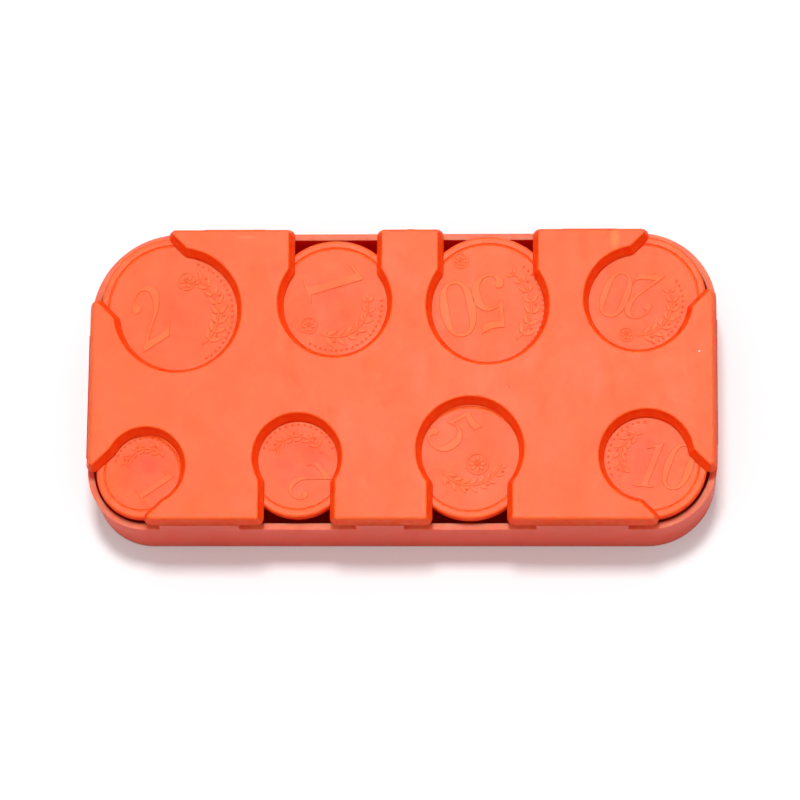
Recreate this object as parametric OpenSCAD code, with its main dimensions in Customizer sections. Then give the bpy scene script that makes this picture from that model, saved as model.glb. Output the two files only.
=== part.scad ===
// Pocket coin dispenser: a moulded tray with eight coin pockets under one cover plate.
// In each pocket a sprung pusher, shaped like a coin, lifts the coins against the cover.
// A thumb slides the top coin out through the mouth of its opening.
// The origin is at the middle of the underside: X runs along the rows, Y to the back.

/* [Coins] */
// Diameter of the coin in the back left corner
coin_200 = 25.75; // [24:0.05:27.5]
// Diameter of the second coin in the back row
coin_100 = 23.25; // [21.5:0.05:25]
// Diameter of the third coin in the back row
coin_50 = 24.25; // [22.5:0.05:26]
// Diameter of the coin in the back right corner
coin_20 = 22.25; // [20.5:0.05:24]
// Diameter of the coin in the front left corner
coin_1 = 16.25; // [15.5:0.05:18]
// Diameter of the second coin in the front row
coin_2 = 18.75; // [17:0.05:20.5]
// Diameter of the third coin in the front row
coin_5 = 21.25; // [19.5:0.05:23]
// Diameter of the coin in the front right corner
coin_10 = 19.75; // [18:0.05:21.5]
// Free room round a coin in its pocket
coin_clear = 0.3; // [0.2:0.05:0.6]
// How much a pocket's straight sides stand in from its round
side_ease = 0.05; // [0.02:0.01:0.1]

/* [Tray] */
// Height of the closed dispenser
total_h = 19; // [17:0.5:26]
// Thickness of the outer wall
wall = 1.05; // [0.8:0.05:1.6]
// Thickness of the wall round a pocket
web = 1; // [0.8:0.05:1.4]
// Thickness of the floor
floor_t = 1.6; // [1.2:0.1:2.4]
// Height of the slot through which a coin leaves
slot_h = 3; // [2.6:0.1:3.6]
// Room between the end pockets and the side walls
side_play = 0.55; // [0.3:0.05:1]
// Room between the middle pockets and the back wall
back_play = 0.05; // [0:0.05:0.6]
// Room between the middle pockets and the front wall
front_play = 0.45; // [0:0.05:0.8]
// Room between the corner pockets and the front or back wall
corner_play = 0.15; // [0:0.05:0.6]
// Space between the three right-hand coins of the front row
front_gap = 8.4; // [7:0.1:9]
// Space between a back coin and the front coin before it, where the two are largest
row_gap = 1.8; // [1.6:0.1:3]

/* [Cover] */
// Thickness of the cover plate
cover_t = 2.3; // [1.8:0.1:3]
// Round along the cover's upper edge
edge_round = 0.6; // [0.3:0.05:0.6]
// How far the walls of the openings lean back under that round
wall_lean = 0.5; // [0:0.05:0.5]
// How far the cover's edge stands in from the tray's outer face
cover_inset = 0.1; // [0:0.05:0.4]
// How far the cover laps over each coin in the back row, left to right
back_laps = [3.1, 3, 2.8, 2.95]; // [2:0.05:4]
// How far the cover laps over each coin in the front row, left to right
front_laps = [2.4, 2.85, 2.6, 2.95]; // [2:0.05:4]
// How much each side of a mouth stands in from its thumb opening, back row
back_necks = [2.2, 1.8, 1.9, 1.8]; // [0.3:0.1:3]
// How much each side of a mouth stands in from its thumb opening, front row
front_necks = [0.3, 1.1, 1.9, 1.6]; // [0.3:0.1:3]
// Plan radius where a mouth meets the cover's outer edge
mouth_round = 1.2; // [1.2:0.05:2]
// Plan radius where a mouth meets its thumb opening
neck_round = 1.3; // [1.2:0.1:3]

/* [Pushers] */
// How much smaller a pusher's head is than its coin
head_under = 1.1; // [0.8:0.1:1.5]
// Thickness of a head
head_t = 2.2; // [1.8:0.1:2.4]
// Round along a head's upper edge
head_round = 0.7; // [0.3:0.1:0.9]
// Width of the raised rim round a head, with its round
rim_w = 1.15; // [1:0.05:1.5]
// Depth of a head's field below its rim
field_depth = 0.25; // [0.1:0.05:0.4]
// Height of a pusher with its skirt
pusher_h = 5.5; // [5:0.1:6.5]
// How far the skirt stands in from the head's edge
skirt_in = 2.2; // [1.8:0.1:2.3]
// Thickness of the skirt
skirt_t = 1; // [0.8:0.1:1.1]
// Gap between a raised pusher and the cover
rest_gap = 0.2; // [0.1:0.05:0.3]
// Gap between a pressed pusher and the floor
floor_gap = 0.2; // [0.1:0.05:0.3]
// Share of its free room that each pusher has slid towards its mouth, back row
back_slides = [1, 0.05, 1, 1]; // [0:0.05:1]
// Share of its free room that each pusher has slid towards its mouth, front row
front_slides = [1, 0.75, 1, 1]; // [0:0.05:1]
// Gap left between a pusher that has slid out fully and the outer wall
slide_gap = 0.2; // [0.15:0.05:0.3]

/* [Springs] */
// Outside diameter of a spring
spring_d = 7.3; // [6.4:0.1:7.4]
// Diameter of the spring wire
wire_d = 0.5; // [0.4:0.05:0.6]
// Turns of a spring
spring_turns = 6; // [5:1:7]
// Rise of a spring's first and last turn
end_pitch = 1; // [0.95:0.05:1.2]
// Gap between a spring's end and its seat
seat_gap = 0.15; // [0.1:0.05:0.3]
// Free room round a spring's locating stubs
stub_clear = 0.35; // [0.2:0.05:0.5]
// Height of the stub on the floor
floor_stub_h = 2; // [1:0.1:2.2]
// Height of the stub under a pusher's head
head_stub_h = 1.1; // [0.6:0.1:1.2]

/* [Hidden] */
$fn = 96;
eps = 0.01;

// The wells, numbered from the back left to the back right, then front left to front right
names = ["200", "100", "50", "20", "1", "2", "5", "10"];
wells = [for (i = [0:7]) i];
coins = [coin_200, coin_100, coin_50, coin_20, coin_1, coin_2, coin_5, coin_10];
laps = concat(back_laps, front_laps);
necks = concat(back_necks, front_necks);
slides = concat(back_slides, front_slides);
mouth_turns = [135, 90, 90, 45, 225, 270, 270, 315];
function is_back(i) = i < 4;
function is_corner(i) = i % 4 == 0 || i % 4 == 3;

// Outer size, from the coins in it
margin = wall + coin_clear;
coin_gap = web + 2 * coin_clear;
largest_pair = max([for (i = [0:3]) coins[i] + coins[i + 4]]);
body_w = coins[0] + coins[1] + coins[2] + coins[3] + 3 * coin_gap + 2 * (margin + side_play);
body_d = largest_pair + row_gap + 2 * margin + back_play + front_play;
tray_h = total_h - cover_t;
rim_h = tray_h - slot_h;

// Centres of the wells
function back_x(i) = i == 0 ? -body_w / 2 + margin + side_play + coins[0] / 2
                            : back_x(i - 1) + coins[i - 1] / 2 + coin_gap + coins[i] / 2;
function front_x(i) = i == 4 ? -body_w / 2 + margin + side_play + coins[4] / 2
                    : i == 7 ? body_w / 2 - margin - side_play - coins[7] / 2
                             : front_x(i + 1) - coins[i + 1] / 2 - front_gap - coins[i] / 2;
function wall_play(i) = is_corner(i) ? corner_play : is_back(i) ? back_play : front_play;
function well_x(i) = is_back(i) ? back_x(i) : front_x(i);
function well_y(i) = (is_back(i) ? 1 : -1) * (body_d / 2 - margin - wall_play(i) - coins[i] / 2);
centres = [for (i = wells) [well_x(i), well_y(i)]];
pocket_r = [for (d = coins) d / 2 + coin_clear];

// The corners of the outline are round their coins
function corner_r(i) = coins[i] / 2 + margin + (side_play + corner_play) / 2;
function corner_centre(i) = [sign(well_x(i)) * (body_w / 2 - corner_r(i)),
                             sign(well_y(i)) * (body_d / 2 - corner_r(i))];
corner_loop = [3, 0, 4, 7];

// Directions, and points in a well's own frame: a out along its mouth, b across it
function heading(a) = [cos(a), sin(a)];
function out_of(i) = heading(mouth_turns[i]);
function across(i) = heading(mouth_turns[i] + 90);
function at(i, a, b) = centres[i] + a * out_of(i) + b * across(i);
function bearing(v) = atan2(v[1], v[0]);
// How far from p, along d, the circle round c is crossed on the way out
function reach(p, d, c, r) = let (q = p - c, m = q * d) -m + sqrt(m * m - q * q + r * r);

// Pushers and springs
head_r = [for (d = coins) (d - head_under) / 2];
function slide_room(i) = is_corner(i)
    ? reach(centres[i], out_of(i), corner_centre(i), corner_r(i) - wall - slide_gap - head_r[i])
    : coins[i] / 2 + coin_clear + wall_play(i) - slide_gap - head_r[i];
pusher_at = [for (i = wells) at(i, slides[i] * slide_room(i), 0)];
pusher_top = tray_h - rest_gap;
head_under_z = pusher_top - head_t;
travel = pusher_top - pusher_h - floor_t - floor_gap;
spring_r = (spring_d - wire_d) / 2;
stub_r = spring_d / 2 - wire_d - stub_clear;
spring_z = floor_t + seat_gap + wire_d / 2;
spring_rise = head_under_z - seat_gap - wire_d / 2 - spring_z;

plastic = [1, 0.47, 0.32];
steel = [0.75, 0.76, 0.78];

// Outline of the tray, taken in by inset: a rectangle whose corners have different radii
module outline(inset = 0) {
    w = body_w / 2 - inset;
    d = body_d / 2 - inset;
    polygon([for (i = corner_loop) for (k = [0, 1])
        let (c = corner_centre(i), s = [sign(c[0]), sign(c[1])])
        ((k == 0) == (s[0] * s[1] > 0)) ? [s[0] * w, c[1]] : [c[0], s[1] * d]]);
    for (i = corner_loop)
        translate(corner_centre(i)) circle(corner_r(i) - inset);
}

// Plan of a pocket: round inside, with straight sides that run out to the wall
module pocket_plan(i, grow = 0) {
    r = pocket_r[i] + grow;
    side = r - side_ease;
    translate(centres[i]) {
        circle(r);
        rotate(mouth_turns[i]) translate([0, -side]) square([body_d, 2 * side]);
    }
}

// Plan of the tray's walls, without the pockets
module wall_plan() {
    difference() {
        intersection() {
            outline();
            union() {
                difference() {
                    outline();
                    outline(wall);
                }
                for (i = wells) pocket_plan(i, web);
            }
        }
        for (i = wells)
            intersection() {
                outline(wall);
                pocket_plan(i);
            }
    }
}

// Plan of the walls above the rim, where a slot leads out of each pocket
module slotted_plan() {
    difference() {
        wall_plan();
        for (i = wells) pocket_plan(i);
    }
}

module tray() {
    color(plastic) {
        linear_extrude(floor_t) outline();
        linear_extrude(rim_h) wall_plan();
        linear_extrude(tray_h) slotted_plan();
        for (p = pusher_at) translate(p) cylinder(r = stub_r, h = floor_t + floor_stub_h);
    }
}

// A station of the cover's outline is a point, the direction its edge faces and how far its wall leans.
// An arc round c from bearing a to b: facing is 1 where the edge bulges and -1 where it is hollow,
// and the lean goes from the first to the second of leans.
function arc(c, r, a, b, step, facing, leans) =
    let (n = max(1, ceil(abs(b - a) / step)))
    [for (k = [0:n])
        let (t = k / n, d = heading(a + (b - a) * t))
        [c + r * d, facing * d, leans[0] + (leans[1] - leans[0]) * t]];
upright = [0, 0];
leaning = [wall_lean, wall_lean];

opening_r = [for (i = wells) coins[i] / 2 - laps[i]];
mouth_half = [for (i = wells) opening_r[i] - necks[i]];
// Degrees between the stations of a wide arc and of a small round
opening_step = 12;
round_step = 30;

// The bearing that the cover's outer edge faces beside a mouth, on its first or second side.
// A corner mouth lies on the diagonal of its two edges.
function edge_bearing(i, side) = mouth_turns[i] + (is_corner(i) ? side * 45 : 0);
// Centre of the round where a mouth meets a straight outer edge
function edge_round_centre(i, side) =
    let (p = at(i, 0, side * (mouth_half[i] + mouth_round)),
         n = heading(edge_bearing(i, side)),
         half = abs(n[0]) * body_w / 2 + abs(n[1]) * body_d / 2 - cover_inset)
    p + out_of(i) * (half - mouth_round - p * n) / (out_of(i) * n);
// Centre of the round where a corner mouth meets the outline's corner
function corner_round_centre(i, side) =
    let (p = at(i, 0, side * (mouth_half[i] + mouth_round)))
    p + out_of(i) * reach(p, out_of(i), corner_centre(i), corner_r(i) - cover_inset - mouth_round);
// Bearing of that centre from the corner's own centre, from the mouth's direction
function corner_swing(i, side) =
    let (v = corner_round_centre(i, side) - corner_centre(i))
    atan2(v * across(i), v * out_of(i));
function meets_corner(i, side) =
    is_corner(i) && abs(corner_swing(i, side)) < abs(edge_bearing(i, side) - mouth_turns[i]);
function mouth_corner(i, side) = meets_corner(i, side) ? corner_round_centre(i, side)
                                                       : edge_round_centre(i, side);
function mouth_corner_bearing(i, side) =
    meets_corner(i, side) ? mouth_turns[i] + corner_swing(i, side) : edge_bearing(i, side);

// Stations round one opening: in along its mouth, round the thumb opening and out again
function opening(i) =
    let (a = mouth_turns[i],
         b = mouth_half[i] + neck_round,
         run = sqrt(pow(opening_r[i] + neck_round, 2) - b * b),
         swing = atan2(b, run),
         corner = corner_centre(i),
         corner_edge_r = corner_r(i) - cover_inset,
         start = mouth_corner_bearing(i, -1),
         end = mouth_corner_bearing(i, 1))
    concat(
        meets_corner(i, -1)
            ? arc(corner, corner_edge_r, edge_bearing(i, -1), start, opening_step, 1, upright) : [],
        arc(mouth_corner(i, -1), mouth_round, start, a + 90, round_step, 1, [0, wall_lean]),
        arc(at(i, run, -b), neck_round, a + 90, a + 180 - swing, round_step, 1, leaning),
        arc(centres[i], opening_r[i], a - swing, a + swing - 360, opening_step, -1, leaning),
        arc(at(i, run, b), neck_round, a + 180 + swing, a + 270, round_step, 1, leaning),
        arc(mouth_corner(i, 1), mouth_round, a + 270, end + 360, round_step, 1, [wall_lean, 0]),
        meets_corner(i, 1)
            ? arc(corner, corner_edge_r, end, edge_bearing(i, 1), opening_step, 1, upright) : []);

// Drops a station that repeats the one before it
function distinct(s) = [for (k = [0:len(s) - 1])
    if (k == 0 || norm(s[k][0] - s[k - 1][0]) > eps) s[k]];

// Points inside the plate: midway in the webs between neighbours, and along a spine between the rows
function web_point(i) =
    let (d = centres[i + 1] - centres[i], u = d / norm(d))
    (centres[i] + centres[i + 1] + (opening_r[i] - opening_r[i + 1]) * u) / 2;
columns = [0:3];
gaps = [0:2];
back_webs = [for (k = gaps) web_point(k)];
front_webs = [for (k = gaps) web_point(k + 4)];
mids = [for (k = columns)
    [centres[k][0] + centres[k + 4][0],
     centres[k][1] - opening_r[k] + centres[k + 4][1] + opening_r[k + 4]] / 2];
spine = [for (k = gaps) [back_webs[k][0] + front_webs[k][0], mids[k][1] + mids[k + 1][1]] / 2];
inner = concat(back_webs, front_webs, mids, spine);
// Numbers of the inner points on one side of a well, from the outer edge in
function side_nodes(i, gap) =
    gap < 0 || gap > 2 ? [] : [(is_back(i) ? 0 : 3) + gap, len(inner) - 3 + gap];
function turned(v) = [for (k = [len(v) - 1:-1:0]) v[k]];
function cell_nodes(i) =
    let (k = i % 4, first = is_back(i) ? k : k - 1, second = is_back(i) ? k - 1 : k)
    concat(side_nodes(i, first), [6 + k], turned(side_nodes(i, second)));

// The cover's outline runs round the plate, from one opening to the next.
// Between two openings is a station midway along the outer edge.
cover_loop = [3, 2, 1, 0, 4, 5, 6, 7];
function after(n) = (n + 1) % len(cover_loop);
function edge_station(i, j) = is_back(i) == is_back(j)
    ? let (s = is_back(i) ? 1 : -1) [[web_point(min(i, j))[0], s * (body_d / 2 - cover_inset)], [0, s], 0]
    : let (s = i % 4 == 0 ? -1 : 1) [[s * (body_w / 2 - cover_inset), mids[i % 4][1]], [s, 0], 0];
runs = [for (i = cover_loop) distinct(opening(i))];
cover_edge = [for (n = [0:7]) each concat(runs[n], [edge_station(cover_loop[n], cover_loop[after(n)])])];
run_ends = [for (n = [-1:7]) n < 0 ? -1 : len([for (k = [0:n]) each runs[k]]) + n];

// The edge's section from the underside up: how far in from the outline, how high,
// and the share of the wall's lean that is reached there
round_steps = 4;
edge_section = concat([[0, 0, 0]], [for (k = [0:round_steps]) let (a = 90 * k / round_steps)
    [edge_round * (1 - cos(a)), cover_t - edge_round * (1 - sin(a)), 1]]);

// Triangles of a flat face: the stations of each opening joined to the points round its cell.
// The stations start at number base and the inner points at number core.
function turn_at(i, p) = let (v = p - centres[i]) atan2(-v * across(i), -v * out_of(i));
function flat_face(base, core) = [for (n = [0:7])
    let (i = cover_loop[n],
         first = run_ends[n] + 1,
         last = run_ends[n + 1] - 1,
         before = (first + len(cover_edge) - 1) % len(cover_edge),
         nodes = cell_nodes(i),
         ids = concat([base + before], [for (k = nodes) core + k], [base + last + 1]),
         turns = concat([turn_at(i, cover_edge[before][0])], [for (k = nodes) turn_at(i, inner[k])],
                        [turn_at(i, cover_edge[last + 1][0])]),
         picks = [for (j = [first:last - 1])
             let (t = turn_at(i, (cover_edge[j][0] + cover_edge[j + 1][0]) / 2))
             len([for (k = [0:len(turns) - 2]) if ((turns[k] + turns[k + 1]) / 2 > t) k])])
    each concat(
        [for (j = [first:last - 1]) [base + j, base + j + 1, ids[picks[j - first]]]],
        [for (j = [first:last])
            let (a = j == first ? 0 : picks[j - first - 1],
                 b = j == last ? len(ids) - 1 : picks[j - first])
            if (b > a) each [for (k = [a:b - 1]) [base + j, ids[k + 1], ids[k]]]])];

// The plate: its outline drawn up through the edge's section, closed by two flat faces
module plate() {
    n = len(cover_edge);
    top = n * (len(edge_section) - 1);
    core = n * len(edge_section);
    levels = [for (s = edge_section) for (q = cover_edge)
        let (p = q[0] - (s[0] + s[2] * q[2]) * q[1]) [p[0], p[1], s[1]]];
    flats = [for (z = [0, cover_t]) for (p = inner) [p[0], p[1], z]];
    edge = [for (k = [0:len(edge_section) - 2]) for (j = [0:n - 1])
        let (a = k * n + j, b = k * n + (j + 1) % n)
        each [[a, b + n, b], [a, a + n, b + n]]];
    under = flat_face(0, core);
    over = [for (t = flat_face(top, core + len(inner))) turned(t)];
    polyhedron(concat(levels, flats), concat(edge, under, over));
}

module cover() {
    color(plastic) translate([0, 0, tray_h]) plate();
}

// Half section of a pusher: a coin-shaped head with a rim and a rounded edge, a skirt and a stub
module pusher_section(r) {
    skirt_r = r - skirt_in;
    skirt_h = pusher_h - head_t;
    difference() {
        union() {
            translate([0, skirt_h]) square([r, head_t - head_round]);
            translate([0, skirt_h]) square([r - head_round, head_t]);
            translate([r - head_round, pusher_h - head_round]) circle(head_round);
            translate([skirt_r - skirt_t, 0]) square([skirt_t, skirt_h + eps]);
            translate([0, skirt_h - head_stub_h]) square([stub_r, head_stub_h + eps]);
        }
        translate([-eps, pusher_h - field_depth]) square([r - rim_w + eps, field_depth + eps]);
    }
}

module pusher(i) {
    color(plastic) translate([pusher_at[i][0], pusher_at[i][1], pusher_top - pusher_h])
        rotate_extrude() pusher_section(head_r[i]);
}

// Points along the wire: even turns between a closer first and last one, with straight ends
rings = 8;
sides = 6;
mid_pitch = (spring_rise - 2 * end_pitch) / (spring_turns - 2);
function coil_z(t) = t < 1 ? t * end_pitch
                   : t > spring_turns - 1 ? spring_rise - (spring_turns - t) * end_pitch
                   : end_pitch + (t - 1) * mid_pitch;
function coil(t) = [spring_r * cos(360 * t), spring_r * sin(360 * t), coil_z(t)];
function coil_way(t) = let (v = [-sin(360 * t), cos(360 * t), end_pitch / (2 * PI * spring_r)]) v / norm(v);
coil_points = concat([coil(0) - wire_d * coil_way(0)],
                     [for (k = [0:spring_turns * rings]) coil(k / rings)],
                     [coil(spring_turns) + wire_d * coil_way(spring_turns)]);
function along(k) = let (n = len(coil_points) - 1,
                         v = coil_points[min(k + 1, n)] - coil_points[max(k - 1, 0)]) v / norm(v);
function ring(k) = let (p = coil_points[k], w = along(k), c = cross(w, [p[0], p[1], 0]),
                        up = c / norm(c), side = cross(up, w))
    [for (j = [0:sides - 1]) p + wire_d / 2 * (cos(360 * j / sides) * side + sin(360 * j / sides) * up)];

// The least gap between the wire's turns, measured between points at least half a turn apart
function gap_to(p, k) = min([for (j = [k:len(coil_points) - 1]) norm(coil_points[j] - p)]) - wire_d;
least_gap = min([for (k = [0:len(coil_points) - 1 - rings / 2]) gap_to(coil_points[k], k + rings / 2)]);
echo(least_gap_between_spring_turns = least_gap, pusher_travel = travel);

module spring(i) {
    n = len(coil_points);
    last = sides * (n - 1);
    tube = [for (k = [0:n - 2]) for (j = [0:sides - 1])
        let (a = k * sides + j, b = k * sides + (j + 1) % sides)
        each [[a, b, b + sides], [a, b + sides, a + sides]]];
    first_end = [for (j = [1:sides - 2]) [0, j + 1, j]];
    last_end = [for (j = [1:sides - 2]) [last, last + j, last + j + 1]];
    color(steel) translate([pusher_at[i][0], pusher_at[i][1], spring_z])
        polyhedron([for (k = [0:n - 1]) each ring(k)], concat(tube, first_end, last_end));
}

tray();
cover();
for (i = wells) {
    pusher(i);
    spring(i);
}
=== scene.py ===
import math

import bmesh
import bpy
from mathutils import Matrix, Vector


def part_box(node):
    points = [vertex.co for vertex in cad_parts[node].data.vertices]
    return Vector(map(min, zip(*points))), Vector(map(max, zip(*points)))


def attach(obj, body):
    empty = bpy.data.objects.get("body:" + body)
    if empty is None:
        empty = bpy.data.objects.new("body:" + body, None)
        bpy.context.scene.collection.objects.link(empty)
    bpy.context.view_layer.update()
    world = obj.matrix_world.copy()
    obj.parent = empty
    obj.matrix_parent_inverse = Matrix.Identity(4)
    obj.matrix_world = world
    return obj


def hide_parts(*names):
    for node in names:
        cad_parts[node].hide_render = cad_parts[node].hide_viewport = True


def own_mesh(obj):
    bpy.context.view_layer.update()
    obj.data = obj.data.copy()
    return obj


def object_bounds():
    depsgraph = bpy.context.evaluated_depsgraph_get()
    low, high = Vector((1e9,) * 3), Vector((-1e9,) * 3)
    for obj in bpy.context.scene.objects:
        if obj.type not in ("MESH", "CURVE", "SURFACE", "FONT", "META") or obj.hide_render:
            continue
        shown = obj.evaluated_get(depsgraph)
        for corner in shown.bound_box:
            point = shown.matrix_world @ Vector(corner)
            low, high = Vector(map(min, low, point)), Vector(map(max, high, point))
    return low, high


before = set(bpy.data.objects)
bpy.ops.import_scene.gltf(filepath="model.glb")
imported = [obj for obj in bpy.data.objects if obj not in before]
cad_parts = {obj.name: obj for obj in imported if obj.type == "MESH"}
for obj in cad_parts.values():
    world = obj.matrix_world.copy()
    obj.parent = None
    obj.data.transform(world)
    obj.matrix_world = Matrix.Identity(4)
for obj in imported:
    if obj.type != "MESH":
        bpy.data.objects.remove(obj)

cad_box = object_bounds()
MM = 0.001
scene = bpy.context.scene

# Sizes repeated from part.scad, in mm, and the bearings of the mouths in degrees.
# Wells run back left to back right, then front left to front right.
NAMES = ["200", "100", "50", "20", "1", "2", "5", "10"]
COINS = [25.75, 23.25, 24.25, 22.25, 16.25, 18.75, 21.25, 19.75]
LAPS = [3.1, 3.0, 2.8, 2.95, 2.4, 2.85, 2.6, 2.95]
NECKS = [2.2, 1.8, 1.9, 1.8, 0.3, 1.1, 1.9, 1.6]
TURNS = [135, 90, 90, 45, 225, 270, 270, 315]
WALL, CLEAR, WEB = 1.05, 0.3, 1.0
SIDE_PLAY, BACK_PLAY, FRONT_PLAY, CORNER_PLAY = 0.55, 0.05, 0.45, 0.15
FRONT_GAP, ROW_GAP = 8.4, 1.8
TOTAL_H, COVER_T, COVER_INSET = 19.0, 2.3, 0.1
MOUTH_ROUND, NECK_ROUND = 1.2, 1.3
HEAD_T, RIM_W, FIELD_DEPTH, REST_GAP = 2.2, 1.15, 0.25, 0.2
PUSHER_H, SKIRT_IN, SKIRT_T, STUB_R, STUB_H = 5.5, 2.2, 1.0, 2.8, 1.1
SPRING_D, WIRE_D, SPRING_TURNS, END_PITCH = 7.3, 0.5, 6, 1.0
TRAVEL, SLOT_H = 9.2, 3.0

MARGIN = WALL + CLEAR
COIN_GAP = WEB + 2 * CLEAR
BODY_W = sum(COINS[:4]) + 3 * COIN_GAP + 2 * (MARGIN + SIDE_PLAY)
BODY_D = (max(COINS[i] + COINS[i + 4] for i in range(4)) + ROW_GAP + 2 * MARGIN
          + BACK_PLAY + FRONT_PLAY)
TRAY_H = TOTAL_H - COVER_T
RIM_H = TRAY_H - SLOT_H
FIELD_Z = TRAY_H - REST_GAP - FIELD_DEPTH


def is_back(i):
    return i < 4


def is_corner(i):
    return i % 4 in (0, 3)


def well_centres():
    x = [0.0] * 8
    x[0] = -BODY_W / 2 + MARGIN + SIDE_PLAY + COINS[0] / 2
    for i in (1, 2, 3):
        x[i] = x[i - 1] + COINS[i - 1] / 2 + COIN_GAP + COINS[i] / 2
    x[4] = -BODY_W / 2 + MARGIN + SIDE_PLAY + COINS[4] / 2
    x[7] = BODY_W / 2 - MARGIN - SIDE_PLAY - COINS[7] / 2
    for i in (6, 5):
        x[i] = x[i + 1] - COINS[i + 1] / 2 - FRONT_GAP - COINS[i] / 2
    out = []
    for i in range(8):
        play = CORNER_PLAY if is_corner(i) else BACK_PLAY if is_back(i) else FRONT_PLAY
        y = BODY_D / 2 - MARGIN - play - COINS[i] / 2
        out.append(Vector((x[i], y if is_back(i) else -y)))
    return out


CENTRES = well_centres()
OPENING_R = [COINS[i] / 2 - LAPS[i] for i in range(8)]
MOUTH_HALF = [OPENING_R[i] - NECKS[i] for i in range(8)]


def heading(a):
    return Vector((math.cos(math.radians(a)), math.sin(math.radians(a))))


# Node helpers
class Nodes:
    """A short way to write a material's nodes."""

    def __init__(self, name):
        self.mat = bpy.data.materials.new(name)
        self.mat.use_nodes = True
        self.tree = self.mat.node_tree
        self.tree.nodes.clear()
        self.out = self.add("ShaderNodeOutputMaterial")
        self.where = self.add("ShaderNodeTexCoord").outputs["Object"]

    def add(self, kind, **props):
        n = self.tree.nodes.new(kind)
        for k, v in props.items():
            setattr(n, k, v)
        return n

    def put(self, value, socket):
        if isinstance(value, bpy.types.NodeSocket):
            self.tree.links.new(value, socket)
        else:
            socket.default_value = value

    def noise(self, scale, detail=2.0, rough=0.5, stretch=None):
        n = self.add("ShaderNodeTexNoise")
        n.inputs["Scale"].default_value = scale
        n.inputs["Detail"].default_value = detail
        n.inputs["Roughness"].default_value = rough
        where = self.where
        if stretch:
            m = self.add("ShaderNodeMapping")
            m.inputs["Scale"].default_value = stretch
            self.put(where, m.inputs["Vector"])
            where = m.outputs["Vector"]
        self.put(where, n.inputs["Vector"])
        return n.outputs["Fac"]

    def span(self, value, a, b, lo, hi, smooth=False):
        n = self.add("ShaderNodeMapRange", interpolation_type="SMOOTHSTEP" if smooth else "LINEAR")
        self.put(value, n.inputs["Value"])
        for key, v in zip(("From Min", "From Max", "To Min", "To Max"), (a, b, lo, hi)):
            n.inputs[key].default_value = v
        return n.outputs["Result"]

    def math(self, op, a, b):
        n = self.add("ShaderNodeMath", operation=op)
        self.put(a, n.inputs[0])
        self.put(b, n.inputs[1])
        return n.outputs[0]

    def mix(self, fac, a, b):
        n = self.add("ShaderNodeMix", data_type="RGBA")
        self.put(fac, n.inputs["Factor"])
        self.put(a, n.inputs["A"])
        self.put(b, n.inputs["B"])
        return n.outputs["Result"]

    def bump(self, height, distance, normal=None):
        n = self.add("ShaderNodeBump")
        n.inputs["Distance"].default_value = distance
        n.inputs["Strength"].default_value = 1.0
        self.put(height, n.inputs["Height"])
        if normal is not None:
            self.put(normal, n.inputs["Normal"])
        return n.outputs["Normal"]

    def spot(self, x, y, rx, ry, soft=0.5):
        """1 inside an upright ellipse on the plan, in mm, and 0 outside it."""
        m = self.add("ShaderNodeMapping")
        m.inputs["Location"].default_value = (-x / rx, -y / ry, 0)
        m.inputs["Scale"].default_value = (1000 / rx, 1000 / ry, 0)
        self.put(self.where, m.inputs["Vector"])
        n = self.add("ShaderNodeVectorMath", operation="LENGTH")
        self.put(m.outputs["Vector"], n.inputs[0])
        return self.span(n.outputs["Value"], 1 - soft, 1, 1, 0, True)

    def plan(self):
        """The piece's own plan, from its middle: 0.5 is its edge."""
        m = self.add("ShaderNodeMapping")
        m.inputs["Location"].default_value = (-0.5, -0.5, 0)
        m.inputs["Scale"].default_value = (1, 1, 0)
        self.put(self.add("ShaderNodeTexCoord").outputs["Generated"], m.inputs["Vector"])
        return m.outputs["Vector"]

    def centre_shade(self):
        """Painted shade, strongest at the middles of the discs, more on some than on others, and cloudy."""
        most = 0.0
        for c, d, share in zip(CENTRES, COINS, CENTRE_SHADE):
            near = self.spot(c.x, c.y, d * CENTRE_SHADE_R, d * CENTRE_SHADE_R, CENTRE_SHADE_SOFT)
            most = self.math("MAXIMUM", self.math("MULTIPLY", near, share), most)
        return self.math("MULTIPLY", most, self.span(self.noise(320, 3), 0.35, 0.6, 0.4, 1))

    def ring(self, inner, outer):
        """1 on a ring round the middle of the piece's own plan, whose edge is at 0.5, with breaks in it."""
        n = self.add("ShaderNodeVectorMath", operation="LENGTH")
        self.put(self.plan(), n.inputs[0])
        inside = self.math("GREATER_THAN", n.outputs["Value"], inner)
        both = self.math("MULTIPLY", inside, self.math("LESS_THAN", n.outputs["Value"], outer))
        return self.math("MULTIPLY", both, self.span(self.noise(500, 3), 0.4, 0.65, 0, 0.4))

    def lip(self, low, high, least, most):
        """Marks what lies between two heights in mm, more in some places than in others."""
        n = self.add("ShaderNodeSeparateXYZ")
        self.put(self.where, n.inputs["Vector"])
        above = self.math("GREATER_THAN", n.outputs["Z"], low * MM)
        both = self.math("MULTIPLY", above, self.math("LESS_THAN", n.outputs["Z"], high * MM))
        return self.math("MULTIPLY", both, self.span(self.noise(600, 3), 0.35, 0.65, least, most))

    def rolled(self):
        """1 along the rolled edge that the mesh itself marks, with breaks in it."""
        n = self.add("ShaderNodeAttribute", attribute_name="rolled")
        return self.math("MULTIPLY", n.outputs["Fac"], self.span(self.noise(600, 3), 0.5, 0.7, 0, 0.3))

    def drawn(self, most):
        """Painted red glow and shade, strongest on the edges that a mesh itself marks."""
        n = self.add("ShaderNodeAttribute", attribute_name="drawn")
        return self.math("MULTIPLY", n.outputs["Fac"], self.span(self.noise(900, 2), 0.3, 0.6, most * 0.7, most))

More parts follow.
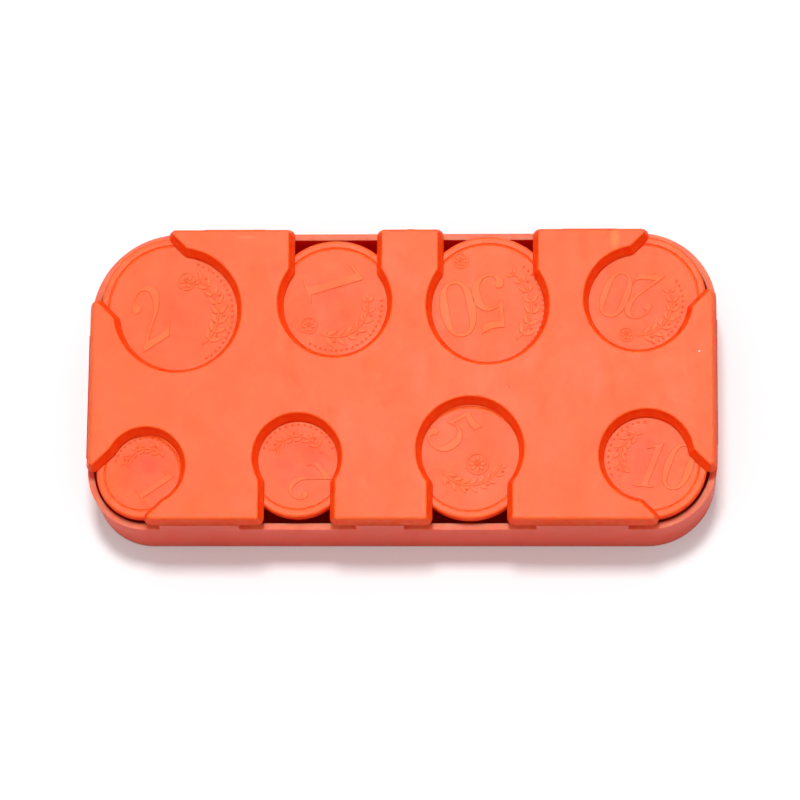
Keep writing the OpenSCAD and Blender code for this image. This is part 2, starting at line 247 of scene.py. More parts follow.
    def specks(self, cells, radius, share):
        """Sparse round specks: one in a cell of the given size, in some of the cells."""
        v = self.add("ShaderNodeTexVoronoi")
        v.inputs["Scale"].default_value = 1000 / cells
        self.put(self.where, v.inputs["Vector"])
        near = self.span(v.outputs["Distance"], radius / cells * 0.7, radius / cells, 1, 0)
        pick = self.add("ShaderNodeSeparateColor")
        self.put(v.outputs["Color"], pick.inputs["Color"])
        return self.math("MULTIPLY", near, self.math("GREATER_THAN", pick.outputs["Red"], 1 - share))


def rgba(r, g, b):
    return (r, g, b, 1)


def plastic(name, base, rough, glow, marks=(), grain=1.0):
    """Moulded orange plastic: faint cloudy tone, flow streaks, fine grain, gloss that varies, and the marks it is
    given, among them worn edges with a painted highlight, painted red glow and painted shade.
    """
    n = Nodes(name)
    pale = rgba(base[0], base[1] * 1.05, base[2] * 1.15)
    colour = n.mix(n.span(n.noise(40, 3, 0.5), 0.35, 0.68, 0, 1), rgba(*base), pale)
    flow = n.noise(130, 3, 0.6, (0.35, 1, 1))
    colour = n.mix(n.span(flow, 0.55, 0.78, 0, 0.3), colour, rgba(base[0], base[1] * 1.12, base[2] * 1.4))
    for mask, tint in marks:
        colour = n.mix(mask(n), colour, rgba(*tint))
    colour = n.mix(n.specks(7.5, 0.09, 0.2), colour, rgba(1.0, 0.4, 0.24))
    colour = n.mix(n.specks(11, 0.08, 0.16), colour, rgba(0.4, 0.02, 0.006))
    shade = n.add("ShaderNodeBsdfPrincipled")
    n.put(colour, shade.inputs["Base Color"])
    smear = n.noise(240, 4, 0.6, (1, 0.6, 1))
    n.put(n.span(smear, 0.3, 0.7, rough - 0.03, rough + 0.04), shade.inputs["Roughness"])
    shade.inputs["IOR"].default_value = 1.5
    # The same mask makes the walls reflect less.
    n.put(n.span(n.drawn(1.0), 0, 1, 0.2, 0.06), shade.inputs["Specular IOR Level"])
    shade.inputs["Subsurface Weight"].default_value = 1.0 if glow else 0.0
    shade.inputs["Subsurface Radius"].default_value = (1.0, 0.1, 0.04)
    shade.inputs["Subsurface Scale"].default_value = glow * MM
    bump = n.bump(n.noise(170, 2), 0.00001 * grain)
    bump = n.bump(n.noise(1400, 3, 0.55), 0.000004 * grain, bump)
    bump = n.bump(n.noise(6500, 2), 0.000002 * grain, bump)
    n.put(bump, shade.inputs["Normal"])
    n.put(shade.outputs[0], n.out.inputs["Surface"])
    return n.mat


def steel():
    """Drawn spring wire: bright steel with fine marks along it and a faint straw tint."""
    n = Nodes("spring_steel")
    tone = n.noise(900, 3)
    colour = n.mix(n.span(tone, 0.35, 0.7, 0, 1), rgba(0.56, 0.56, 0.57), rgba(0.72, 0.69, 0.63))
    shade = n.add("ShaderNodeBsdfPrincipled")
    n.put(colour, shade.inputs["Base Color"])
    shade.inputs["Metallic"].default_value = 1.0
    n.put(n.span(n.noise(2600, 3), 0.3, 0.7, 0.22, 0.38), shade.inputs["Roughness"])
    n.put(n.bump(n.noise(5000, 2, 0.5, (1, 1, 3)), 0.000004), shade.inputs["Normal"])
    n.put(shade.outputs[0], n.out.inputs["Surface"])
    return n.mat


ORANGE = (1.0, 0.122, 0.013)
WEAR_AND_SHEEN = (1.0, 0.17, 0.05)
CENTRE_SHADE_RED = (1.0, 0.05, 0.003)
# How much painted shade darkens and reddens each disc at its middle, how far that reaches as a share of its coin's
# diameter, and the share of that reach over which it fades
CENTRE_SHADE = [0.3, 0.35, 0.08, 0.3, 0.7, 0.65, 0.15, 0.5]
CENTRE_SHADE_R, CENTRE_SHADE_SOFT = 0.38, 0.9
# Half the height of the paler band at the cut top of the tray's wall, in mm: partly wear, partly painted light that
# brightens the rim
LIP_HALF = 0.05
COVER_MARKS = [
    # A flow mark and a pale streak by the back edge, partly wear and partly a painted highlight, then a dark speck and
    # a pale one
    (lambda n: n.math("MULTIPLY", n.spot(35.2, 22.9, 1.1, 2.6, 0.8), 0.45), (1.0, 0.32, 0.05)),
    (lambda n: n.math("MULTIPLY", n.spot(-26, 23.3, 2.4, 0.3, 0.6), 0.3), (1.0, 0.24, 0.1)),
    (lambda n: n.spot(17.8, -2.4, 0.16, 0.13), (0.3, 0.02, 0.01)),
    (lambda n: n.spot(49, 3.6, 0.2, 0.16), (1.0, 0.8, 0.74)),
    # The rolled edge, paler from wear and a painted highlight, and the walls under it, painted a deep red glow
    (lambda n: n.rolled(), WEAR_AND_SHEEN),
    (lambda n: n.drawn(1.0), (1.0, 0.06, 0.005)),
]
PUSHER_MARKS = [
    # Painted shade at the middles, a paler ring on the rim, and painted red glow and shade down the sides
    (lambda n: n.centre_shade(), CENTRE_SHADE_RED),
    (lambda n: n.ring(0.455, 0.485), WEAR_AND_SHEEN),
    (lambda n: n.drawn(1.0), (1.0, 0.03, 0.002)),
]
# A paler band at the rim's top: wear, and painted light that brightens it
TRAY_MARKS = [(lambda n: n.lip(RIM_H - LIP_HALF, RIM_H + LIP_HALF, 0.7, 1.0), (1.0, 0.2, 0.095))]
# Painted shade at the middles as on the discs, and painted shade on the sloping faces
RELIEF_MARKS = [(lambda n: n.centre_shade(), CENTRE_SHADE_RED), (lambda n: n.drawn(0.8), (0.78, 0.045, 0.004))]
cover_plastic = plastic("cover_plastic", ORANGE, 0.44, 1.0, COVER_MARKS)
# The tray is the cover's plastic with its colour made redder and darker: painted shade for its shaded walls
tray_plastic = plastic("tray_plastic", (1.0, 0.046, 0.008), 0.48, 2.5, TRAY_MARKS)
pusher_plastic = plastic("pusher_plastic", ORANGE, 0.44, 0.9, PUSHER_MARKS, 1.2)
relief_plastic = plastic("relief_plastic", ORANGE, 0.44, 0, RELIEF_MARKS, 1.2)
spring_steel = steel()


# Mesh helpers
def add_object(name, mesh, material, body):
    mesh.materials.clear()
    mesh.materials.append(material)
    obj = bpy.data.objects.new(name, mesh)
    scene.collection.objects.link(obj)
    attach(obj, body)
    return obj


def paint(node, material):
    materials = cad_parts[node].data.materials
    materials.clear()
    materials.append(material)


def mesh_from(bm, name):
    mesh = bpy.data.meshes.new(name)
    bm.to_mesh(mesh)
    bm.free()
    return mesh


def middle_of(lo, hi):
    """The middle of a box on the plan, in mm."""
    return (lo.x + hi.x) / 2 / MM, (lo.y + hi.y) / 2 / MM


# Cover
# Width and height of its rolled edge and the reach of the leaning wall under it, in mm,
# first along the outer edge and then in the openings
ROLL_W, ROLL_H, WALL_REACH = (0.4, 0.3), (0.5, 0.4), (0.5, 0.8)
# Degrees between stations on wide and on small arcs, and how near two stations count as one, in mm
WIDE_STEP, SMALL_STEP, SAME_POINT = 3, 7.5, 0.01


def corner_r(i):
    return COINS[i] / 2 + MARGIN + (SIDE_PLAY + CORNER_PLAY) / 2


def corner_centre(i):
    c = CENTRES[i]
    return Vector((math.copysign(BODY_W / 2 - corner_r(i), c.x), math.copysign(BODY_D / 2 - corner_r(i), c.y)))


def at(i, a, b):
    return CENTRES[i] + a * heading(TURNS[i]) + b * heading(TURNS[i] + 90)


def reach(p, d, c, r):
    q = p - c
    m = q.dot(d)
    return -m + math.sqrt(m * m - q.dot(q) + r * r)


def arc(c, r, a, b, step, facing, share_a=0.0, share_b=0.0):
    """Stations along an arc: a point, the direction its edge faces and its share of an opening's edge form."""
    n = max(1, math.ceil(abs(b - a) / step))
    out = []
    for k in range(n + 1):
        d = heading(a + (b - a) * k / n)
        out.append((c + r * d, facing * d, share_a + (share_b - share_a) * k / n))
    return out


def mouth_corner(i, side):
    """Centre of the round where a mouth meets the outer edge, the bearing that the edge faces there,
    and whether it is on the corner."""
    out = heading(TURNS[i])
    p = at(i, 0, side * (MOUTH_HALF[i] + MOUTH_ROUND))
    facing = TURNS[i] + (side * 45 if is_corner(i) else 0)
    if is_corner(i):
        c = p + out * reach(p, out, corner_centre(i), corner_r(i) - COVER_INSET - MOUTH_ROUND)
        v = c - corner_centre(i)
        swing = math.degrees(math.atan2(v.dot(heading(TURNS[i] + 90)), v.dot(out)))
        if abs(swing) < 45:
            return c, TURNS[i] + swing, True
    n = heading(facing)
    half = abs(n.x) * BODY_W / 2 + abs(n.y) * BODY_D / 2 - COVER_INSET
    return p + out * ((half - MOUTH_ROUND - p.dot(n)) / out.dot(n)), facing, False


def opening(i):
    """Stations round one opening: in along its mouth, round the thumb opening and out again."""
    a = TURNS[i]
    b = MOUTH_HALF[i] + NECK_ROUND
    run = math.sqrt((OPENING_R[i] + NECK_ROUND) ** 2 - b * b)
    swing = math.degrees(math.atan2(b, run))
    c0, start, on0 = mouth_corner(i, -1)
    c1, end, on1 = mouth_corner(i, 1)
    edge_r = corner_r(i) - COVER_INSET
    s = []
    if on0:
        s += arc(corner_centre(i), edge_r, a - 45, start, WIDE_STEP, 1)
    s += arc(c0, MOUTH_ROUND, start, a + 90, SMALL_STEP, 1, 0, 1)
    s += arc(at(i, run, -b), NECK_ROUND, a + 90, a + 180 - swing, SMALL_STEP, 1, 1, 1)
    s += arc(CENTRES[i], OPENING_R[i], a - swing, a + swing - 360, WIDE_STEP, -1, 1, 1)
    s += arc(at(i, run, b), NECK_ROUND, a + 180 + swing, a + 270, SMALL_STEP, 1, 1, 1)
    s += arc(c1, MOUTH_ROUND, a + 270, end + 360, SMALL_STEP, 1, 1, 0)
    if on1:
        s += arc(corner_centre(i), edge_r, end, a + 45, WIDE_STEP, 1)
    return s


def edge_form(share):
    """The roll's width and height and the wall's reach, from the outer edge's at 0 to an opening's at 1."""
    return [outer + (inner - outer) * share for outer, inner in (ROLL_W, ROLL_H, WALL_REACH)]


def cover_mesh():
    """The cover's outline drawn up through its edge section, closed by two flat faces."""
    stations = []
    for i in (3, 2, 1, 0, 4, 5, 6, 7):
        for station in opening(i):
            if not stations or (station[0] - stations[-1][0]).length > SAME_POINT:
                stations.append(station)
    # The round at the foot and the flat inside it in mm, then the roll's steps and the flat past it, as a share
    # of its width
    foot, sole, steps, past = 0.03, 0.2, 10, 0.06
    # Insets along the foot and the wall, as a length and a height in mm and a share of the wall,
    # then shares of the roll's width and height
    wall = [(foot + sole, 0, 0), (foot, 0, 0), (foot * 0.3, foot * 0.3, 0), (0, foot, 0), (0, foot, 0.1),
            (0, foot, 0.5)]
    roll = [(1 - math.cos(math.radians(90 * k / steps)), 1 - math.sin(math.radians(90 * k / steps)))
            for k in range(steps + 1)] + [(1 + past, 0)]
    bm = bmesh.new()
    rings = []

    def add_ring(points):
        rings.append([bm.verts.new((p.x * MM, p.y * MM, (TRAY_H + z) * MM)) for p, z in points])

    for inset, z, part in wall:
        ring = []
        for p, f, share in stations:
            _, roll_h, reach_in = edge_form(share)
            ring.append((p - (inset + part * reach_in) * f, z + part * (COVER_T - roll_h - foot)))
        add_ring(ring)
    for across, down in roll:
        ring = []
        for p, f, share in stations:
            roll_w, roll_h, reach_in = edge_form(share)
            ring.append((p - (reach_in + across * roll_w) * f, COVER_T - down * roll_h))
        add_ring(ring)
    n = len(stations)
    for low, high in zip(rings, rings[1:]):
        for j in range(n):
            k = (j + 1) % n
            bm.faces.new((low[j], low[k], high[k], high[j])).smooth = True
    bm.faces.new(rings[-1])
    bm.faces.new(list(reversed(rings[0])))
    mesh = mesh_from(bm, "cover_plate")
    mark = mesh.attributes.new("rolled", "FLOAT", "POINT")
    first = len(wall) * n
    for k in range(first + n, first + steps * n):
        mark.data[k].value = 1.0
    # The painted red glow of the walls runs on over the first rings of the roll
    wall_glow, rings_over = mesh.attributes.new("drawn", "FLOAT", "POINT"), 4
    for k in range(n, first + rings_over * n):
        wall_glow.data[k].value = 1.0
    return mesh


cover = add_object("cover_plate", cover_mesh(), cover_plastic, "case")
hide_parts("cover")


# Springs
def spring_mesh(name, centre, low, high):
    """A wound wire with closer end turns, as a tube that narrows a little at its ends, which are closed flat. low and
    high are the tube's ends in mm.
    """
    r = (SPRING_D - WIRE_D) / 2
    z0 = low + WIRE_D / 2
    rise = high - low - WIRE_D
    pitch = (rise - 2 * END_PITCH) / (SPRING_TURNS - 2)
    rings, sides, end_size = 28, 12, 0.82

    def height(t):
        if t < 1:
            return t * END_PITCH
        if t > SPRING_TURNS - 1:
            return rise - (SPRING_TURNS - t) * END_PITCH
        return END_PITCH + (t - 1) * pitch

    bm = bmesh.new()
    loops = []
    count = SPRING_TURNS * rings
    for k in range(count + 1):
        t = k / rings
        a = 2 * math.pi * t
        d = 0.5 / rings
        lo, hi = max(0, t - d), min(SPRING_TURNS, t + d)
        along = Vector((-r * math.sin(a) * 2 * math.pi * (hi - lo), r * math.cos(a) * 2 * math.pi * (hi - lo),
                        height(hi) - height(lo))).normalized()
        out = Vector((math.cos(a), math.sin(a), 0))
        up = along.cross(out).normalized()
        p = Vector((centre[0] + r * math.cos(a), centre[1] + r * math.sin(a), z0 + height(t)))
        size = WIRE_D / 2 * (end_size if k in (0, count) else 1)
        loops.append([bm.verts.new((p + size * (math.cos(2 * math.pi * j / sides) * out
                                                + math.sin(2 * math.pi * j / sides) * up)) * MM)
                      for j in range(sides)])
    for a, b in zip(loops, loops[1:]):
        for j in range(sides):
            k = (j + 1) % sides
            bm.faces.new((a[j], b[j], b[k], a[k])).smooth = True
    bm.faces.new(loops[0])
    bm.faces.new(list(reversed(loops[-1])))
    bmesh.ops.recalc_face_normals(bm, faces=bm.faces)
    return mesh_from(bm, name)


for label in NAMES:
    lo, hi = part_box("spring_" + label)
    mid = middle_of(lo, hi)
    wire = add_object("wire_" + label, spring_mesh("wire_" + label, mid, lo.z / MM, hi.z / MM),
                      spring_steel, "case")
    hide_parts("spring_" + label)
    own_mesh(wire)


# The tray keeps its solid
paint("tray", tray_plastic)


# Pushers
def pusher_section(r):
    """Half section of a pusher, from its field's edge down to its stub, as radius and depth below its rim."""
    edge, foot, steps = 0.4, 0.12, 8
    # How far the flats run on beside the rounds at the head's top and foot
    top_flat, foot_flat = 0.04, 0.05
    rim = r - RIM_W
    # The line inside the rim: how far in from it and how deep below the field
    groove = [(0.42, 0), (0.36, 0), (0.31, 0.03), (0.26, 0.09), (0.21, 0.13), (0.16, 0.14), (0.1, 0.12), (0.05, 0.04)]
    # The rim's inner edge: how far out and how deep below its top
    shoulder = [(0, 0.06), (0.02, 0.02), (0.07, 0), (0.12, 0)]
    line = [(rim - across, FIELD_DEPTH + depth) for across, depth in groove]
    line += [(rim + across, depth) for across, depth in shoulder] + [(r - edge - top_flat, 0)]
    for k in range(steps + 1):
        a = math.radians(90 * k / steps)
        line.append((r - edge * (1 - math.sin(a)), edge * (1 - math.cos(a))))
    line += [(r, HEAD_T - foot - foot_flat), (r, HEAD_T - foot), (r - foot * 0.3, HEAD_T - foot * 0.3),
             (r - foot, HEAD_T)]
    out = r - SKIRT_IN
    line += [(out, HEAD_T), (out, PUSHER_H - foot), (out - foot, PUSHER_H), (out - SKIRT_T + foot, PUSHER_H),
             (out - SKIRT_T, PUSHER_H - foot), (out - SKIRT_T, HEAD_T)]
    line += [(STUB_R, HEAD_T), (STUB_R, HEAD_T + STUB_H - foot), (STUB_R - foot, HEAD_T + STUB_H)]
    return line


def pusher_mesh(name, centre, r):
    """A pusher turned from its half section: a coin-shaped head with a rim and a rim line, a skirt and a stub."""
    count, sharp = 144, math.radians(40)
    # Depths below the rim where the painted red glow and shade starts, outside and inside it, and the depth over which
    # it grows
    outer_start, inner_start, fade = 0.04, FIELD_DEPTH + 0.15, 0.3
    top = TRAY_H - REST_GAP
    bm = bmesh.new()
    rings = []
    for radius, depth in pusher_section(r):
        ring = []
        for k in range(count):
            p = Vector(centre) + radius * heading(360 * k / count)
            ring.append(bm.verts.new((p.x * MM, p.y * MM, (top - depth) * MM)))
        rings.append(ring)
    for high, low in zip(rings, rings[1:]):
        for j in range(count):
            k = (j + 1) % count
            bm.faces.new((high[j], low[j], low[k], high[k])).smooth = True
    bm.faces.new(rings[0])
    bm.faces.new(list(reversed(rings[-1])))
    for edge in bm.edges:
        edge.smooth = edge.calc_face_angle() < sharp
    mark = bm.faces.layers.float.new("drawn")
    for face in bm.faces:
        middle = face.calc_center_median() / MM
        outside = (middle.xy - Vector(centre)).length > r - RIM_W / 2
        start = outer_start if outside else inner_start
        face[mark] = min(1, max(0, (top - middle.z - start) / fade))
    return mesh_from(bm, name)


for label in NAMES:
    lo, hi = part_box("pusher_" + label)
    mid = middle_of(lo, hi)
    name = "head_" + label
    head = add_object(name, pusher_mesh(name, mid, (hi.x - lo.x) / 2 / MM), pusher_plastic,
                      "pusher_" + label)
    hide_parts("pusher_" + label)

# Relief on the pushers
# Digits drawn at a height of 1: s goes before smooth points and c before corners
DIGITS = {
    "1": ["c .08 0 .52 0 .52 .035 .385 .06 .385 1 .35 1 .06 .87 .075 .83 .235 .885 .235 .06 .08 .035"],
    "2": ["s .03 .74 .08 .90 .29 1 .50 .92 .58 .74 .50 .52 .30 .30 c .17 .13 s .46 .13 .56 .16 "
          "c .60 .26 .63 .26 .58 0 .02 0 .02 .05 s .22 .29 .38 .50 .44 .72 .39 .89 .27 .955 .14 .90 "
          ".10 .80 .16 .79 .20 .72 .13 .65 .05 .68"],
    "5": ["c .14 .985 s .34 .965 c .55 1.02 .52 .86 s .34 .83 c .20 .86 .175 .60 s .33 .645 .52 .56 "
          ".60 .34 .51 .09 .27 -.01 .08 .05 .02 .17 .05 .26 .13 .27 .18 .20 .14 .12 .17 .06 .27 .035 "
          ".40 .11 .445 .33 .40 .52 .28 .59 .17 .55 c .12 .50 .095 .50"],
    "0": ["s .62 .5 .31 1.01 0 .5 .31 -.01", "s .465 .5 .31 .95 .155 .5 .31 .05"],
}
# A digit's middle and the step to the next one, at that height
DIGIT_MID, DIGIT_STEP = 0.31, 0.565
# The number on each pusher: its place from the well's centre, its height, its turn and its slant
NUMBERS = {
    "200": ("2", -4.87, -0.36, 9.5, 34, 0.33), "100": ("1", -0.2, 3.75, 9.8, -73, 0),
    "50": ("50", -2.3, 0.4, 9.6, 191, 0), "20": ("20", -1.5, 1.2, 7.8, 175, 0.3),
    "1": ("1", 1.6, -2.8, 6.5, -55, 0), "2": ("2", 1.6, -3.7, 7.0, 129, 0),
    "5": ("5", -2.8, 3.55, 8.5, -56, 0), "10": ("10", 3.1, -1.2, 7.7, -5, 0.3),
}
# What stands beside it, placed from the well's centre: rosettes (x, y, radius, petals),
# leafy sprigs (radius, from, to, leaf pairs, leaf length) and bead rows (radius, from, to, beads)
MOTIFS = {
    "200": {"sprig": [(6.6, -52, 62, 8, 2.1)], "rosette": [(1.2, 5.6, 1.6, 7)], "row": [(9.0, -58, 70, 22)]},
    "100": {"sprig": [(5.4, -118, 12, 7, 1.9)], "rosette": [(-4.4, -3.4, 1.5, 7)], "row": [(7.7, -122, 6, 20)]},
    "50": {"sprig": [(7.2, -48, 58, 7, 1.9)], "rosette": [(-4.6, 8.2, 1.4, 7)], "row": [(9.2, -50, 50, 18)]},
    "20": {"sprig": [(5.6, -92, 22, 7, 1.8)], "rosette": [(-2.0, -5.4, 1.3, 7)], "row": [(7.4, -70, 30, 15)]},
    "1": {"sprig": [(3.5, 38, 168, 6, 1.3)], "row": [(5.3, 40, 165, 13)]},
    "2": {"sprig": [(4.0, 18, 158, 6, 1.5)], "row": [(6.0, 20, 160, 15)]},
    "5": {"sprig": [(5.5, -148, -22, 8, 1.7)], "rosette": [(1.2, -1.9, 1.9, 8)]},
    "10": {"sprig": [(4.3, 98, 212, 6, 1.6)], "row": [(6.2, 92, 205, 13)]},
}
# Height above the field, depth under it, edge round and radius of a row's beads, in mm
RELIEF_H, RELIEF_SINK, RELIEF_EDGE, BEAD_R = 0.16, 0.06, 0.07, 0.2
# A rosette's ring in mm, then its petals' start, length and width and its middle, as shares of its radius
RING_W, PETAL_AT, PETAL_LONG, PETAL_WIDE, HEART_R = 0.3, 0.26, 0.48, 0.34, 0.19
# A sprig's stem at its root and tip in mm, and its steps
STEM_ROOT, STEM_TIP, STEM_STEPS = 0.36, 0.26, 12
# Its leaves: start of the first and loss of length to the tip as shares, turn, gap to the stem in mm, width as a share
LEAF_START, LEAF_LOSS, LEAF_TURN, LEAF_GAP, LEAF_WIDE = 0.55, 0.3, 40, 0.34, 0.42
# Its berries: distance as a share of a leaf's length, turn, and radius in mm
BERRY_OUT, BERRY_TURN, BERRY_R = 0.42, 14, 0.22
# How near two points of a shape are welded, in mm, what counts as a level face, and how fast the painted shade on
# sloping faces grows
WELD, LEVEL, SLOPE_SHADE_GAIN = 0.0001, 0.999, 2.5


def read_outline(text):
    points, kind = [], "c"
    words = text.split()
    while words:
        if words[0] in "sc":
            kind = words.pop(0)
        points.append((float(words.pop(0)), float(words.pop(0)), kind))
    return points


def number_outlines(label, centre):
    text, dx, dy, height, turn, slant = NUMBERS[label]
    side, up = heading(turn), heading(turn + 90)
    made = []
    for k, digit in enumerate(text):
        outlines = []
        for line in DIGITS[digit]:
            points = []
            for x, y, kind in read_outline(line):
                u = (x - DIGIT_MID + (k - (len(text) - 1) / 2) * DIGIT_STEP + slant * (y - 0.5)) * height
                v = (y - 0.5) * height
                points.append((centre.x + dx + side.x * u + up.x * v, centre.y + dy + side.y * u + up.y * v, kind))
            outlines.append(points)
        made.append(outlines)
    return made


def leaf(at_point, length, width, turn):
    """A leaf from its stalk, with rounded tips."""
    d, s = heading(turn), heading(turn + 90)
    made = []
    for a, b in ((0, 0), (0.35, 0.5), (0.75, 0.36), (1, 0), (0.75, -0.36), (0.35, -0.5)):
        p = at_point + d * a * length + s * b * width
        made.append((p.x, p.y, "s"))
    return made


def ribbon(points, width, tip):
    """A line of points drawn as a strip that narrows to its tip."""
    left, right = [], []
    n = len(points) - 1
    for k, p in enumerate(points):
        d = (points[min(k + 1, n)] - points[max(k - 1, 0)]).normalized()
        s = Vector((-d.y, d.x)) * (width + (tip - width) * k / n) / 2
        kind = "s" if 0 < k < n else "c"
        left.append((p.x + s.x, p.y + s.y, kind))
        right.append((p.x - s.x, p.y - s.y, kind))
    return left + right[::-1]


def circle(c, r):
    return [(c.x + r, c.y, "s"), (c.x, c.y + r, "s"), (c.x - r, c.y, "s"), (c.x, c.y - r, "s")]


def rosette(c, r, petals):
    """A flower in a ring: shapes, each a list of outlines, and a bead."""
    shapes = [[circle(c, r), circle(c, r - RING_W)]]
    for k in range(petals):
        a = 360 * k / petals + 90
        shapes.append([leaf(c + heading(a) * r * PETAL_AT, r * PETAL_LONG, r * PETAL_WIDE, a)])
    return shapes, [(c, r * HEART_R)]


def sprig(c, r, a, b, pairs, size):
    """A leafy sprig bent along an arc, with berries on its outer side: shapes and beads."""
    stem = [c + r * heading(a + (b - a) * k / STEM_STEPS) for k in range(STEM_STEPS + 1)]
    shapes = [[ribbon(stem, STEM_ROOT, STEM_TIP)]]
    beads = []
    for k in range(pairs):
        t = (k + LEAF_START) / pairs
        turn = a + (b - a) * t
        p = c + r * heading(turn)
        length = size * (1 - LEAF_LOSS * t)
        for side in (1, -1):
            d = turn + 90 + side * LEAF_TURN
            shapes.append([leaf(p + LEAF_GAP * heading(d), length, length * LEAF_WIDE, d)])
        if k % 2:
            beads.append((p + size * BERRY_OUT * heading(turn - BERRY_TURN), BERRY_R))
    return shapes, beads


def bead_row(c, r, a, b, count):
    return [], [(c + r * heading(a + (b - a) * k / (count - 1)), BEAD_R) for k in range(count)]


def raised_curve(name, outlines):
    """One shape's outlines in mm as a filled curve with rounded edges."""
    curve = bpy.data.curves.new(name, "CURVE")
    curve.dimensions = "2D"
    curve.fill_mode = "BOTH"
    curve.bevel_depth = RELIEF_EDGE * MM
    curve.bevel_resolution = 2
    curve.offset = -RELIEF_EDGE * MM
    curve.extrude = ((RELIEF_H + RELIEF_SINK) / 2 - RELIEF_EDGE) * MM
    curve.resolution_u = 8
    for points in outlines:
        spline = curve.splines.new("BEZIER")
        spline.bezier_points.add(len(points) - 1)
        spline.use_cyclic_u = True
        for b, (x, y, kind) in zip(spline.bezier_points, points):
            b.co = (x * MM, y * MM, 0)
            b.handle_left_type = b.handle_right_type = "AUTO" if kind == "s" else "VECTOR"
    holder = bpy.data.objects.new(name, curve)
    scene.collection.objects.link(holder)
    return holder


def relief_mesh(name, shapes, beads):
    """Raised shapes with rounded edges, and low beads, all standing on the field."""
    holders = [raised_curve(name, outlines) for outlines in shapes]
    bpy.context.view_layer.update()
    depsgraph = bpy.context.evaluated_depsgraph_get()
    bm = bmesh.new()
    for holder in holders:
        raised = bpy.data.meshes.new_from_object(holder.evaluated_get(depsgraph))
        raised.transform(Matrix.Translation((0, 0, (FIELD_Z + (RELIEF_H - RELIEF_SINK) / 2) * MM)))
        bm.from_mesh(raised)
        bpy.data.meshes.remove(raised)
    for holder in holders:
        curve = holder.data
        bpy.data.objects.remove(holder)
        bpy.data.curves.remove(curve)
    bmesh.ops.remove_doubles(bm, verts=bm.verts, dist=WELD * MM)
    for c, r in beads:
        made = bmesh.ops.create_uvsphere(bm, u_segments=14, v_segments=8, radius=1.0)["verts"]
        bmesh.ops.scale(bm, vec=(r * MM, r * MM, RELIEF_H * MM), verts=made)
        bmesh.ops.translate(bm, vec=(c.x * MM, c.y * MM, FIELD_Z * MM), verts=made)
    bm.normal_update()
    # Painted shade, stronger the more a face slopes
    mark = bm.faces.layers.float.new("drawn")
    for face in bm.faces:
        face.smooth = abs(face.normal.z) < LEVEL
        face[mark] = min(1, SLOPE_SHADE_GAIN * (1 - abs(face.normal.z)))
    return mesh_from(bm, name)


for label, centre in zip(NAMES, CENTRES):
    shapes, beads = number_outlines(label, centre), []
    motifs = MOTIFS[label]
    made = [rosette(centre + Vector((x, y)), r, n) for x, y, r, n in motifs.get("rosette", [])]
    made += [sprig(centre, *sizes) for sizes in motifs.get("sprig", [])]
    made += [bead_row(centre, *sizes) for sizes in motifs.get("row", [])]
    for more_shapes, more_beads in made:
        shapes += more_shapes
        beads += more_beads
    name = "relief_" + label
    add_object(name, relief_mesh(name, shapes, beads), relief_plastic, "pusher_" + label)


# Floor, light and camera, in metres
FLOOR_R, FLOOR_DROP, FLOOR_GLOW = 4.0, 0.00002, 0.13
SKY_LEVEL, SKY_TOP = 0.24, 0.72
KEY_PLACE, KEY_AIM, KEY_SIZE, KEY_POWER = Vector((0.0, 0.19, 0.874)), Vector((0, 0, 0.01)), 0.13, 5.7


def floor_material():
    n = Nodes("floor_white")
    tone = n.mix(n.span(n.noise(9, 2), 0.3, 0.7, 0, 1), rgba(0.76, 0.76, 0.765), rgba(0.78, 0.78, 0.782))
    diffuse = n.add("ShaderNodeBsdfDiffuse")
    n.put(tone, diffuse.inputs["Color"])
    path = n.add("ShaderNodeLightPath")
    seen = n.math("MAXIMUM", path.outputs["Is Camera Ray"],
                  n.math("MAXIMUM", path.outputs["Is Glossy Ray"], path.outputs["Is Transmission Ray"]))
    glow = n.add("ShaderNodeEmission")
    n.put(n.math("MULTIPLY", seen, FLOOR_GLOW), glow.inputs["Strength"])
    both = n.add("ShaderNodeAddShader")
    n.put(diffuse.outputs[0], both.inputs[0])
    n.put(glow.outputs[0], both.inputs[1])
    n.put(both.outputs[0], n.out.inputs["Surface"])
    return n.mat


bm = bmesh.new()
bmesh.ops.create_circle(bm, cap_ends=True, segments=96, radius=FLOOR_R)
mesh = mesh_from(bm, "floor")
mesh.materials.append(floor_material())
floor = bpy.data.objects.new("floor", mesh)
floor.location.z = cad_box[0][2] - FLOOR_DROP
scene.collection.objects.link(floor)

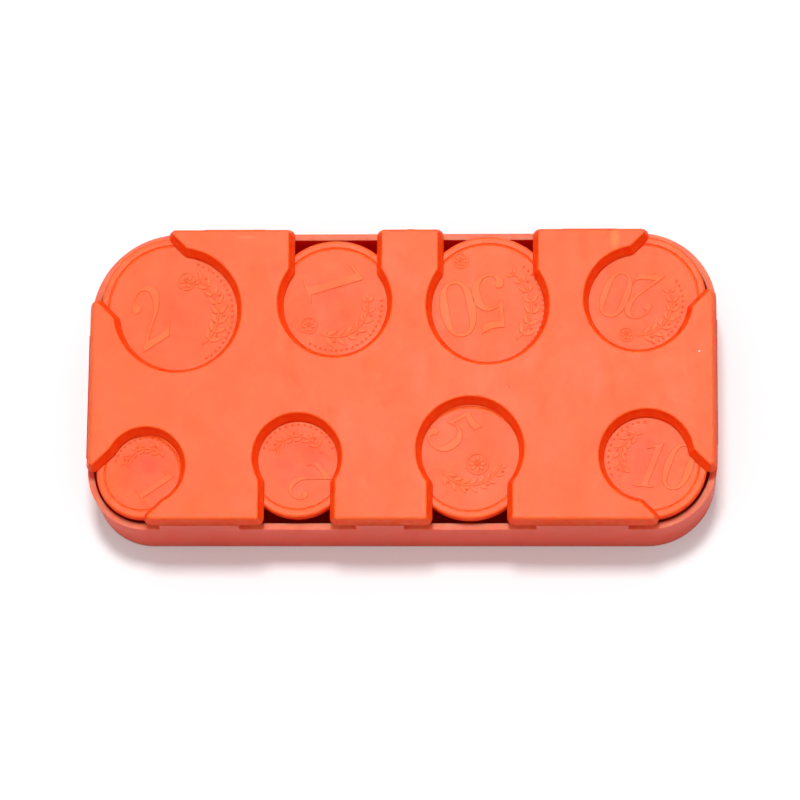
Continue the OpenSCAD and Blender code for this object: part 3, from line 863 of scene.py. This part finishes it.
world = bpy.data.worlds.new("studio")
scene.world = world
world.use_nodes = True
tree = world.node_tree
tree.nodes.clear()
path = tree.nodes.new("ShaderNodeLightPath")
where = tree.nodes.new("ShaderNodeTexCoord")
parts = tree.nodes.new("ShaderNodeSeparateXYZ")
level = tree.nodes.new("ShaderNodeMapRange")
level.inputs["From Min"].default_value = 0.0
level.inputs["From Max"].default_value = 1.0
level.inputs["To Min"].default_value = SKY_LEVEL
level.inputs["To Max"].default_value = SKY_TOP
sky = tree.nodes.new("ShaderNodeBackground")
sky.inputs["Color"].default_value = rgba(0.985, 0.99, 1.0)
white = tree.nodes.new("ShaderNodeBackground")
white.inputs["Color"].default_value = rgba(1, 1, 1)
white.inputs["Strength"].default_value = 1.0
pick = tree.nodes.new("ShaderNodeMixShader")
out = tree.nodes.new("ShaderNodeOutputWorld")
tree.links.new(where.outputs["Generated"], parts.inputs["Vector"])
tree.links.new(parts.outputs["Z"], level.inputs["Value"])
tree.links.new(level.outputs["Result"], sky.inputs["Strength"])
tree.links.new(path.outputs["Is Camera Ray"], pick.inputs["Fac"])
tree.links.new(sky.outputs[0], pick.inputs[1])
tree.links.new(white.outputs[0], pick.inputs[2])
tree.links.new(pick.outputs[0], out.inputs["Surface"])

lamp = bpy.data.lights.new("key_light", "AREA")
lamp.shape = "RECTANGLE"
lamp.size = lamp.size_y = KEY_SIZE
lamp.energy = KEY_POWER
key = bpy.data.objects.new("key_light", lamp)
key.location = KEY_PLACE
key.rotation_euler = (KEY_AIM - KEY_PLACE).to_track_quat("-Z", "Y").to_euler()
scene.collection.objects.link(key)

# The camera stands as the photograph's does: nearly overhead, a little to the right and turned.
# Angles in degrees, the distance and the point it looks at in mm, the lens and the picture in pixels
AZ, EL, ROLL, FAR, FOCAL_PX, IMAGE_PX = 11.60, 76.19, -11.36, 681.8, 4146, 800
LOOK_AT = Vector((-0.15, -4.59, TOTAL_H))
az, el, roll = (math.radians(v) for v in (AZ, EL, ROLL))
back = Vector((math.sin(az) * math.cos(el), -math.cos(az) * math.cos(el), math.sin(el)))
right = (-back).cross(Vector((0, 0, 1))).normalized()
up = right.cross(-back)
side = math.cos(roll) * right + math.sin(roll) * up
top = -math.sin(roll) * right + math.cos(roll) * up
place = (LOOK_AT + back * FAR) * MM
data = bpy.data.cameras.new("camera")
data.sensor_width = 36
data.lens = FOCAL_PX / IMAGE_PX * data.sensor_width
data.clip_start, data.clip_end = 0.01, 50
camera = bpy.data.objects.new("camera", data)
camera.matrix_world = Matrix((
    (side.x, top.x, back.x, place.x),
    (side.y, top.y, back.y, place.y),
    (side.z, top.z, back.z, place.z),
    (0, 0, 0, 1)))
scene.collection.objects.link(camera)
scene.camera = camera
scene.view_settings.view_transform = "Standard"
